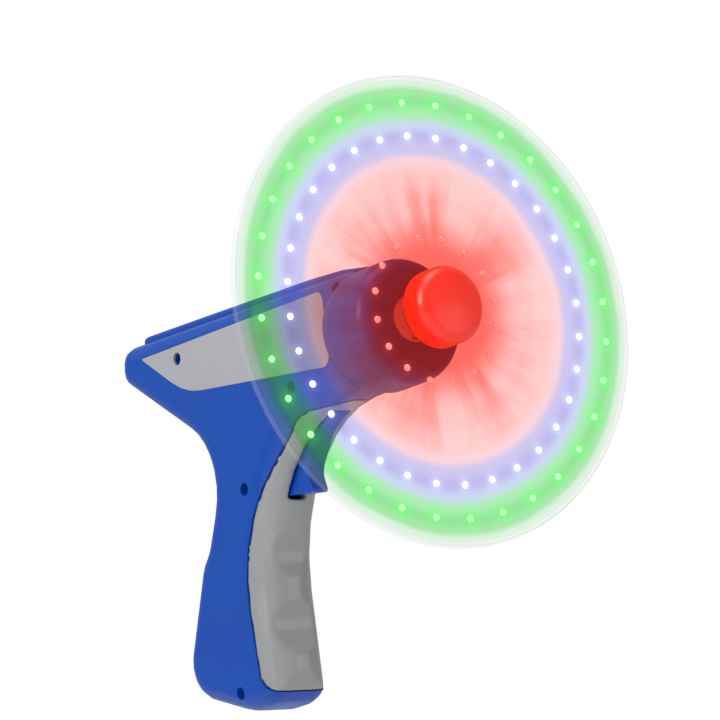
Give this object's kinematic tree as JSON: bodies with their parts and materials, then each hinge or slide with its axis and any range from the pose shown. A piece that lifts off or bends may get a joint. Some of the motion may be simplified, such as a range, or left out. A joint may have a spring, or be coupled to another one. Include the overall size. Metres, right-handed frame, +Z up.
{
  "type": "hand-held light spinner",
  "caption": "Pistol-shaped battery handle that spins a clear disc set with rings of coloured light studs behind a domed nose cap when its trigger is pulled.",
  "frame": {"origin": "on the spin axis, in the middle of the disc's thickness", "axes": "+X along the spin axis towards the nose cap, +Y to the left side of someone who holds it, +Z up towards the top rail"},
  "size_m": [0.203, 0.176, 0.2135],
  "materials": {
    "blue_plastic": "semi-gloss moulded",
    "grey_plastic": "satin moulded",
    "grip_plastic": "semi-gloss moulded",
    "white_plastic": "satin",
    "black_plastic": "satin",
    "red_plastic": "gloss",
    "clear_plastic": "polished clear",
    "green_light": "lit stud",
    "blue_light": "lit stud",
    "red_light": "lit stud",
    "led_epoxy": "gloss",
    "circuit_board": "solder mask",
    "bronze": "satin",
    "screw_steel": "plated",
    "can_steel": "plated",
    "ferrite": "matt",
    "armature_copper": "enamelled wire",
    "cell_jacket": "gloss wrap",
    "red_insulation": "satin",
    "black_insulation": "satin"
  },
  "bodies": {
    "handle": {"housing_right": "blue_plastic", "housing_left": "blue_plastic", "top_rail": "blue_plastic", "side_panel_right": "grey_plastic", "side_panel_left": "grey_plastic", "grip_front": "grip_plastic", "housing_screws": "screw_steel", "brush_holder": "white_plastic", "front_bush": "bronze", "contact_brushes": "bronze", "motor_can": "can_steel", "motor_magnets": "ferrite", "motor_end_bell": "white_plastic", "motor_terminals": "bronze", "switch_body": "black_plastic", "switch_terminals": "bronze", "trigger_pin": "screw_steel", "trigger_spring": "screw_steel", "battery_tray": "black_plastic", "battery_cells": "cell_jacket", "battery_springs": "screw_steel", "battery_plates": "screw_steel", "switch_lead": "red_insulation", "battery_lead": "black_insulation", "motor_lead": "red_insulation", "brush_leads": "red_insulation"},
    "rotor": {"spinner_disc": "clear_plastic", "green_studs": "green_light", "blue_studs": "blue_light", "red_studs": "red_light", "rotor_hub": "white_plastic", "slip_ring_board": "circuit_board", "slip_rings": "bronze", "hub_board": "circuit_board", "hub_chip": "black_plastic", "hub_leds": "led_epoxy", "hub_screws": "screw_steel", "nose_cap": "red_plastic", "motor_shaft": "can_steel", "motor_armature": "armature_copper"},
    "trigger": {"trigger": "blue_plastic"},
    "switch_plunger": {"switch_plunger": "white_plastic"},
    "battery_door": {"battery_door": "blue_plastic", "door_screw": "screw_steel"}
  },
  "joints": [
    {"name": "rotor_spin", "type": "hinge", "parent": "handle", "child": "rotor", "pos_m": [0, 0, 0], "axis": [1, 0, 0], "continuous": true},
    {"name": "trigger_pull", "type": "hinge", "parent": "handle", "child": "trigger", "pos_m": [-0.069, 0, -0.019], "axis": [0, 1, 0], "range_deg": [0, 12], "stiffness_Nm_per_rad": 0.05, "springref_deg": -11.46, "deforming": ["trigger_spring"]},
    {"name": "switch_press", "type": "slide", "parent": "handle", "child": "switch_plunger", "axis": [0, 0, 1], "range_m": [0, 0.003]},
    {"name": "battery_door_lift", "type": "slide", "parent": "handle", "child": "battery_door", "axis": [0, 1, 0], "range_m": [0, 0.025]}
  ],
  "couplings": [
    {"joint": "switch_press", "follows": "trigger_pull", "m_per_rad": 0.0135}
  ]
}
